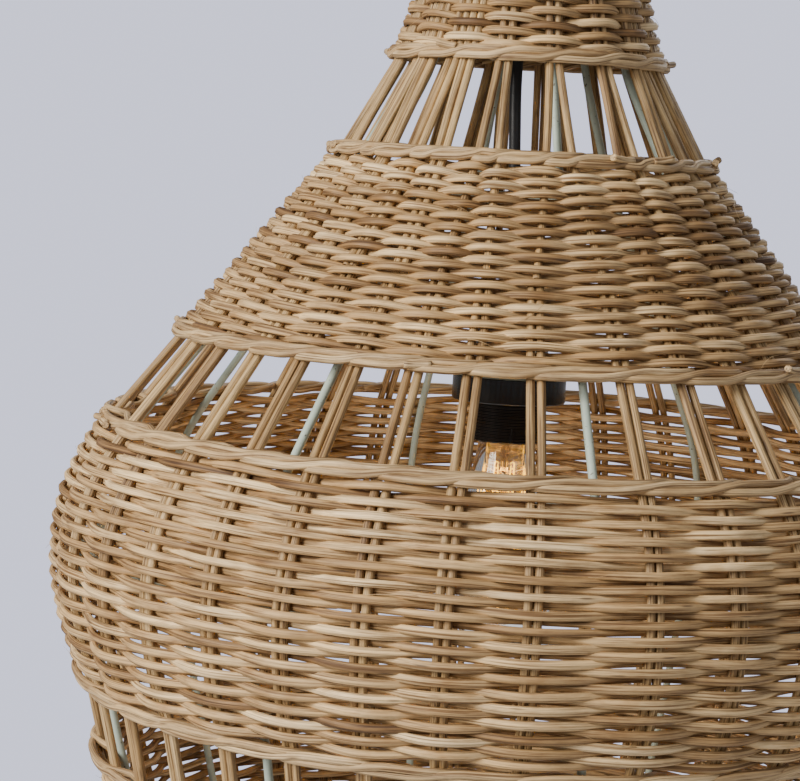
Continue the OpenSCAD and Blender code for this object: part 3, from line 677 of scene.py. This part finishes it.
def stake(strands, angles, heights, lean):
    """A stake along the outline. angles are its azimuths at heights, and lean is how far it strays."""
    z = np.arange(heights[0], heights[-1], -STAKE_STEP)
    z = np.append(z, heights[-1])
    azimuth = np.interp(-z, -np.asarray(heights), angles)
    long_wave, short_wave = (np.sin(z / wave + rng.uniform(0, 6)) for wave in LEAN_WAVES)
    azimuth = azimuth + np.degrees((lean * long_wave + 0.5 * lean * short_wave) / radius_at(z))
    at, out = on_shade(azimuth, z, 0.12 * MM * np.sin(z / 0.03 + rng.uniform(0, 6)))
    tone = np.clip(rng.normal(0.5, 0.2) + 0.08 * np.sin(z / 0.05), 0, 1)
    strands.add(at, out, STAKE_R * rng.uniform(0.95, 1.0), tone, sides=10)


# Each upper stake further than DOUBLED_REACH from the azimuth DOUBLED_FROM is doubled by a second one
DOUBLED_FROM = 8
DOUBLED_REACH = 34
LOWER_LEAN = 0.25 * MM
UPPER_LEAN = 0.2 * MM


def make_stakes():
    """Pairs below the splice, node by node, then the single stakes above it."""
    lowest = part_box("lower_stakes_front")[0].z
    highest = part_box("upper_stakes")[1].z
    for node in LOWER_STAKES:
        strands = Strands()
        for column in azimuths([node], GROUP_APART):
            for side in (-1, 1):
                apart = side * rng.uniform(0.97, 1.06) * STAKE_APART / 2
                heights = np.array([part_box(node)[1].z, BELLY[1], lowest])
                shift = np.degrees(apart / radius_at(heights))
                stake(strands, column + shift, heights, LOWER_LEAN)
        pairs = "pairs_" + node.rsplit("_", 1)[1]
        strands.piece(pairs, materials["stake_rattan"], "shade", "stake_rattan", node)
    strands = Strands()
    heights = np.array([highest, NECK_FOOT[1], SHOULDER_TOP[1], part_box("upper_stakes")[0].z])
    for k, middle in enumerate(in_twos(COLUMNS)):
        for side in (0, 1):
            top = middle + (2 * side - 1) * np.degrees(STAKE_APART / 2 / NECK_TOP[0])
            angles = [top] + [column_angles(z)[2 * k + side] for z in heights[1:]]
            stake(strands, np.array(angles), heights, UPPER_LEAN)
            if math.cos(math.radians(middle - DOUBLED_FROM)) < math.cos(math.radians(DOUBLED_REACH)):
                beside = np.degrees((2 * side - 1) * 1.9 * STAKE_R / radius_at(heights))
                stake(strands, np.array(angles) + beside, heights, UPPER_LEAN)
    strands.piece("upper_stakes_look", materials["stake_rattan"], "shade", "stake_rattan", "upper_stakes")


FIBRES = {"neck": 10, "shoulder": 34, "belly": 44, "hem": 20}


def make_fibres():
    """Loose hairs of rattan that stand off the weave."""
    strands = Strands()
    for band, (top, foot) in BANDS.items():
        for _ in range(FIBRES[band]):
            z = rng.uniform(foot[1] + BORDER_H, top[1] - BORDER_H)
            azimuth = rng.uniform(0, 360)
            length = rng.uniform(9, 26) * MM
            t = np.linspace(0, 1, 7)
            lift = (STAKE_R + 2 * WEAVER_R) * 0.8 + rng.uniform(1, 3.5) * MM * t * t
            swerve = rng.uniform(-1, 1) * length * t * t * 0.5
            turn = np.degrees(length * t * rng.choice([-1, 1]) / radius_at(z))
            at, out = on_shade(azimuth + turn, z + swerve, lift)
            strands.add(at, out, rng.uniform(0.09, 0.2) * MM, rng.uniform(0.3, 0.9), sides=4, taper=0.6)
    strands.piece("loose_fibres", materials["weave_rattan"], "shade", "weave_rattan")


# ---- Wire frame ----
ROD_R = 2.2 * MM
ROD_OFF = -9.4 * MM
ROD_STEP = 8 * MM
ARM_BEND = 4 * MM


def make_rods():
    """The rods that run down inside the weave."""
    strands = Strands()
    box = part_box("frame_rods")
    z = np.append(np.arange(box[1].z - ROD_R, box[0].z + ROD_R, -ROD_STEP), box[0].z + ROD_R)
    for azimuth in RODS:
        at, out = on_shade(azimuth, z, ROD_OFF)
        smooth = at.copy()
        smooth[1:-1] = (at[:-2] + 2 * at[1:-1] + at[2:]) / 4
        strands.add(smooth, out, ROD_R, 0.5, sides=14)
    strands.piece("frame_rods_look", materials["frame_paint"], "shade", "frame_paint", "frame_rods")


def make_spider_arms():
    """Four wires that rise from the spider ring to the rods, each with a bend where it leaves the ring."""
    at = points_of("spider_arms")
    arms = azimuths(["spider_arms"], 20)
    r = np.hypot(at[:, 0], at[:, 1])
    low, high = at[:, 2].min() + ROD_R, at[:, 2].max() - ROD_R
    inner, outer = r.min(), r.max() - ROD_R
    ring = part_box("spider_ring")[1].x + ARM_BEND
    strands = Strands()
    t = np.linspace(0, 1, 12)
    for azimuth in np.radians(arms):
        flat = np.linspace(inner, ring - ARM_BEND, 5)
        bend = ring + ARM_BEND * (t * t - (1 - t) ** 2)
        climb = (high - low) * ARM_BEND / (outer - ring)
        rise = low + climb * t * t
        run = np.linspace(ring + ARM_BEND, outer, 9)[1:]
        radial = np.concatenate([flat[:-1], bend, run])
        height = np.concatenate([np.full(4, low), rise, low + (run - ring) * (high - low) / (outer - ring)])
        path = np.stack([radial * math.sin(azimuth), -radial * math.cos(azimuth), height], axis=-1)
        across = np.tile([math.cos(azimuth), math.sin(azimuth), 0.0], (len(path), 1))
        strands.add(path, across, ROD_R, 0.5, sides=14)
    strands.piece("spider_arms_look", materials["frame_paint"], "shade", "frame_paint", "spider_arms")


# ---- Flex ----
FLEX_D = 6.5 * MM
# Its points, in mm
FLEX_ROUTE = [
    (0, 0, -38), (0, 0, -48), (0, 0, -60), (-1, 0, -80), (-3, 0, -105), (-4, 0, -130), (-5, 1, -160),
    (-6, 1, -190), (-6, 1, -220), (-6, 1, -245), (-5, 0, -270), (-4, 0, -290), (-3, 0, -310), (-1, 0, -328),
    (0, 0, -340), (0, 0, -351),
]


def make_flex():
    """The black flex, from the ceiling grip to the grip on the lampholder."""
    data = bpy.data.curves.new("flex_look", "CURVE")
    data.dimensions = "3D"
    data.bevel_depth = FLEX_D / 2
    data.bevel_resolution = 6
    data.resolution_u = 8
    data.use_fill_caps = True
    spline = data.splines.new("BEZIER")
    spline.bezier_points.add(len(FLEX_ROUTE) - 1)
    for point, at in zip(spline.bezier_points, FLEX_ROUTE):
        point.co = [c * MM for c in at]
        point.handle_left_type = point.handle_right_type = "AUTO"
    data.materials.append(materials["flex_sheath"])
    flex = placed("flex_look", data)
    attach(flex, "hanging_flex")
    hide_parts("flex")


# ---- Bulb ----
GLASS_WALL = 0.7 * MM
GLASS_NECK_R = 15.2 * MM
# Degrees from the lower end to where the ball starts to narrow, and how full the shoulder there is
GLASS_BALL_TO = 84
GLASS_SHOULDER = 1.25
SEGMENTS = 72


def lathe(name, profile, material, body, slot, *nodes):
    """A mesh turned from (radius, height) points. A radius of 0 closes it on the axis."""
    profile = np.asarray(profile, float)
    turn = np.arange(SEGMENTS) * 2 * np.pi / SEGMENTS
    points, rings = [], []
    for r, z in profile:
        if r < 1e-7:
            rings.append([len(points)] * SEGMENTS)
            points.append((0.0, 0.0, z))
        else:
            rings.append(list(range(len(points), len(points) + SEGMENTS)))
            points.extend((r * math.sin(a), -r * math.cos(a), z) for a in turn)
    faces = []
    for upper, lower in zip(rings[:-1], rings[1:]):
        for k in range(SEGMENTS):
            corners = [upper[k], lower[k], lower[(k + 1) % SEGMENTS], upper[(k + 1) % SEGMENTS]]
            faces.append(list(dict.fromkeys(corners)))
    mesh = bpy.data.meshes.new(name)
    mesh.from_pydata(points, [], faces)
    mesh.polygons.foreach_set("use_smooth", np.ones(len(faces), bool))
    finish_piece(mesh, name, material, body, slot, *nodes)


def make_glass():
    """The bulb's glass: a round end and a neck that flows into the cap, a thin shell with both faces."""
    low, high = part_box("bulb_glass")
    ball_r = high.x
    middle = low.z + ball_r
    rise = high.z - middle

    def skin(t):
        end = np.radians(np.linspace(0, GLASS_BALL_TO, 22))
        share = np.linspace(0, 1, 40)
        ball = np.stack([(ball_r - t) * np.sin(end), middle - (ball_r - t) * np.cos(end)], axis=1)
        narrowing = 0.5 + 0.5 * np.cos(np.pi * share**GLASS_SHOULDER)
        wide = GLASS_NECK_R - t + (ball_r - GLASS_NECK_R) * narrowing
        return np.vstack([ball, np.stack([wide, middle + rise * share], axis=1)])

    profile = np.vstack([skin(0), skin(GLASS_WALL)[::-1]])
    lathe("bulb_glass_look", profile, materials["bulb_glass"], "bulb", "bulb_glass", "bulb_glass")


THREAD_DEPTH = 0.62 * MM
THREAD_PITCH = 3.629 * MM
CAP_PLAIN = 3 * MM
CAP_STEPS = 80


def make_cap():
    """The screw cap: a plain skirt at the glass, a rolled thread over it and a shoulder that closes in."""
    low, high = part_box("bulb_cap")
    crest = high.x
    height = high.z - low.z - 1.2 * MM
    points, faces = [], []
    for i in range(CAP_STEPS + 1):
        z = low.z + height * i / CAP_STEPS
        fade_in = min(1, max(0, (z - low.z - CAP_PLAIN) / (2 * MM)))
        fade = fade_in * min(1, max(0, (low.z + height - z) / (1 * MM)))
        for k in range(SEGMENTS):
            a = 2 * np.pi * k / SEGMENTS
            wave = 0.5 + 0.5 * math.cos(2 * np.pi * (z / THREAD_PITCH) - a)
            r = crest - 0.02 * MM - THREAD_DEPTH * (1 - wave) * fade
            points.append((r * math.sin(a), -r * math.cos(a), z))
    inner = crest - 4 * MM
    for a in np.arange(SEGMENTS) * 2 * np.pi / SEGMENTS:
        points.append((inner * math.sin(a), -inner * math.cos(a), high.z))
    for i in range(CAP_STEPS + 1):
        for k in range(SEGMENTS):
            lower, upper = i * SEGMENTS, (i + 1) * SEGMENTS
            j = (k + 1) % SEGMENTS
            faces.append([lower + k, lower + j, upper + j, upper + k])
    mesh = bpy.data.meshes.new("bulb_cap_look")
    mesh.from_pydata(points, [], faces)
    mesh.polygons.foreach_set("use_smooth", np.ones(len(faces), bool))
    finish_piece(mesh, "bulb_cap_look", materials["cap_brass"], "bulb", "cap_brass", "bulb_cap")


FILAMENT_R = 0.36 * MM
FILAMENT_BOW = 1.1 * MM
FILAMENT_STRANDS = 10


def make_filament():
    """A squirrel cage: long strands that hang from the upper hooks to the lower ones, each a little bowed,
    and the short turns that join them over the hooks."""
    at = points_of("filament")
    r = np.hypot(at[:, 0], at[:, 1])
    low, high = at[:, 2].min(), at[:, 2].max()
    top_r, foot_r = r.max() - 0.3 * MM, r.min() + 0.3 * MM
    strands = Strands()
    t = np.linspace(0, 1, 16)
    step = 2 * np.pi / FILAMENT_STRANDS
    for k in range(FILAMENT_STRANDS):
        for side in (-1, 1):
            a = k * step + side * (0.1 + 0.16 * np.sin(np.pi * t / 2)) * step
            wide = top_r + (foot_r - top_r) * t + FILAMENT_BOW * np.sin(np.pi * t)
            z = high - 0.4 * MM + (low - high + 1.2 * MM) * t
            path = np.stack([wide * np.cos(a), wide * np.sin(a), z], axis=-1)
            out = np.stack([np.cos(a), np.sin(a), np.zeros(len(t))], axis=-1)
            strands.add(path, out, FILAMENT_R, 0.5)
        turn = np.linspace(-0.1, 0.1, 7) * step + k * step
        arch = 0.5 * MM * np.cos(np.linspace(-np.pi / 2, np.pi / 2, 7))
        path = np.stack([top_r * np.cos(turn), top_r * np.sin(turn), high - 0.4 * MM + arch], axis=-1)
        strands.add(path, np.tile([0, 0, 1.0], (7, 1)), FILAMENT_R, 0.5)
    return strands.piece("filament_look", materials["filament"], "bulb", "filament", "filament")


def make_glow(filament):
    """The light that the filament gives."""
    at = points_of("filament")
    data = bpy.data.lights.new("glow", "POINT")
    data.energy = 0.3
    data.color = (1.0, 0.5, 0.1)
    data.shadow_soft_size = 9 * MM
    glow = placed("glow", data)
    glow.location = (0, 0, (at[:, 2].min() + at[:, 2].max()) / 2)
    glow.parent = filament


# ---- Finish of the CAD nodes that show as they are ----
def dress_nodes():
    """Gives each CAD node the material of its slot."""
    for part in frame["record"]["subparts"]:
        node = frame["nodes"][part["node"]]
        finish = materials[part["material_slot"]]
        if node.data.materials:
            for k in range(len(node.data.materials)):
                node.data.materials[k] = finish
        else:
            node.data.materials.append(finish)


# ---- Stage ----
FLOOR_Z = -2.4
FLOOR_HALF = 6.0
BACKDROP = (1.0, 1.03, 1.3, 1)
AMBIENT = (0.3, 0.31, 0.33, 1)
AIM = (0, 0, -0.42)
# Place, size, watts and colour
LIGHTS = {
    "window": ((-2.15, -1.75, 0.75), (1.5, 1.8), 172, (1.0, 0.965, 0.9)),
    "fill": ((1.9, -2.2, 0.9), (1.4, 1.4), 12, (0.95, 0.97, 1.0)),
    "back": ((0.9, 2.4, 0.7), (1.6, 1.6), 26, (0.97, 0.98, 1.0)),
}


def area_light(name, place, size, energy, colour):
    """A rectangle of light that faces the light's middle."""
    data = bpy.data.lights.new(name, "AREA")
    data.shape = "RECTANGLE"
    data.size, data.size_y = size
    data.energy = energy
    data.color = colour
    light = placed(name, data)
    ahead = np.array(AIM, float) - np.array(place, float)
    ahead /= np.linalg.norm(ahead)
    right = np.cross(ahead, [0, 0, 1.0])
    right /= np.linalg.norm(right)
    turn = Matrix([right, np.cross(right, ahead), -ahead]).transposed()
    light.matrix_world = Matrix.Translation(place) @ turn.to_4x4()


def make_stage():
    """Pale floor, plain backdrop and soft studio light."""
    mesh = bpy.data.meshes.new("floor")
    corners = [(FLOOR_HALF * x, FLOOR_HALF * y, FLOOR_Z) for x, y in ((-1, -1), (1, -1), (1, 1), (-1, 1))]
    mesh.from_pydata(corners, [], [[0, 1, 2, 3]])
    material, tree, shader, add = new_material("floor")
    place = add("ShaderNodeTexCoord").outputs["Object"]
    soft = noise(add, tree, place, 3, 4, 0.5)
    tree.links.new(ramp(add, tree, soft, [(0.3, (0.76, 0.77, 0.79)), (0.7, (0.82, 0.83, 0.85))]),
                   shader.inputs["Base Color"])
    shader.inputs["Roughness"].default_value = 0.8
    shader.inputs["Emission Color"].default_value = (0.9, 0.92, 0.97, 1)
    shader.inputs["Emission Strength"].default_value = 0.12
    mesh.materials.append(material)
    placed("floor", mesh)
    world = bpy.data.worlds.new("world")
    bpy.context.scene.world = world
    world.use_nodes = True
    nodes, links = world.node_tree.nodes, world.node_tree.links
    sky = nodes["Background"]
    sky.inputs["Color"].default_value = AMBIENT
    seen = nodes.new("ShaderNodeBackground")
    seen.inputs["Color"].default_value = BACKDROP
    choose = nodes.new("ShaderNodeMixShader")
    links.new(nodes.new("ShaderNodeLightPath").outputs["Is Camera Ray"], choose.inputs["Fac"])
    links.new(sky.outputs["Background"], choose.inputs[1])
    links.new(seen.outputs["Background"], choose.inputs[2])
    links.new(choose.outputs["Shader"], nodes["World Output"].inputs["Surface"])
    for name, light in LIGHTS.items():
        area_light(name, *light)


make_camera()
materials = make_materials()
make_flex()
for band, (top, foot) in BANDS.items():
    weave(band, top, foot, twos=band == "neck")
for band, (top, foot) in BANDS.items():
    border(band + "_top", top, -1, twos=band == "neck")
    border(band + "_foot", foot, 1, twos=band == "neck")
make_stakes()
make_fibres()
make_rods()
make_spider_arms()
make_glass()
make_cap()
make_glow(make_filament())
dress_nodes()
make_stage()
